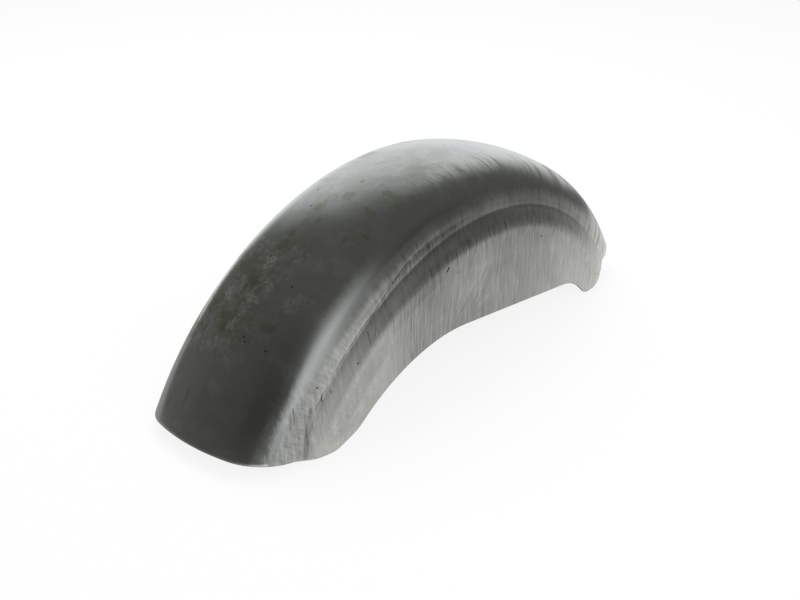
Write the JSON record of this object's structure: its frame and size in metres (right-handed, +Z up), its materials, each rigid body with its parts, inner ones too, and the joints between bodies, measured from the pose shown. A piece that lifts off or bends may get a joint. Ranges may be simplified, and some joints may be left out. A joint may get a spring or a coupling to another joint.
{
  "type": "motorcycle rear fender",
  "caption": "Raw steel motorcycle rear fender: a crowned sheet arch with stepped sides, flat skirts, a wheel cut-out and front tabs.",
  "frame": {"origin": "middle of the length and the width, on the floor that the rear corners and the front tabs stand on", "axes": "+X forwards along the motorcycle, towards the tabs; +Y across; +Z up"},
  "size_m": [0.591, 0.172, 0.195],
  "materials": {
    "raw_steel": "bare mill steel with drawing scratches, oil stains and small pits"
  },
  "bodies": {
    "root": {"fender": "raw_steel"}
  },
  "joints": []
}
